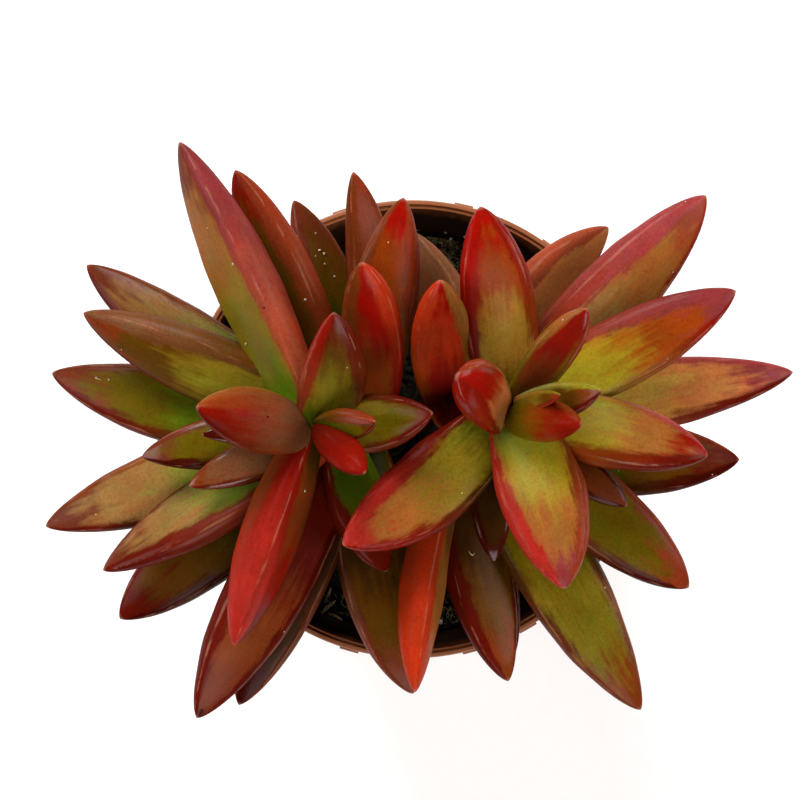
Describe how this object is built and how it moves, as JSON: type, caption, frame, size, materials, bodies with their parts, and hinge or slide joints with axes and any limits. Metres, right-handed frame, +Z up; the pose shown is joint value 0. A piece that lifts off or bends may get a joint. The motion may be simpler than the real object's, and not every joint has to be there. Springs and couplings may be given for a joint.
{
  "type": "potted golden sedum",
  "caption": "Succulent with thick pointed yellow-green and red leaves on short leaning stems, in soil in a small round tapered plastic nursery pot.",
  "frame": {"origin": "centre of the pot's flat base, on the surface it stands on", "axes": "+Z up along the pot's axis; +X from the left shoot to the right shoot, along the plant's widest spread; +Y away from the picture's lower edge"},
  "size_m": [0.134, 0.0995, 0.128],
  "materials": {
    "pot_plastic": "satin terracotta-coloured moulded plastic",
    "potting_soil": "dull dark potting mix",
    "leaf": "smooth waxy leaf skin, yellow-green with red margins and tips"
  },
  "bodies": {
    "root": {"pot": "pot_plastic", "soil": "potting_soil", "left_shoot": "leaf", "right_shoot": "leaf"}
  },
  "joints": []
}
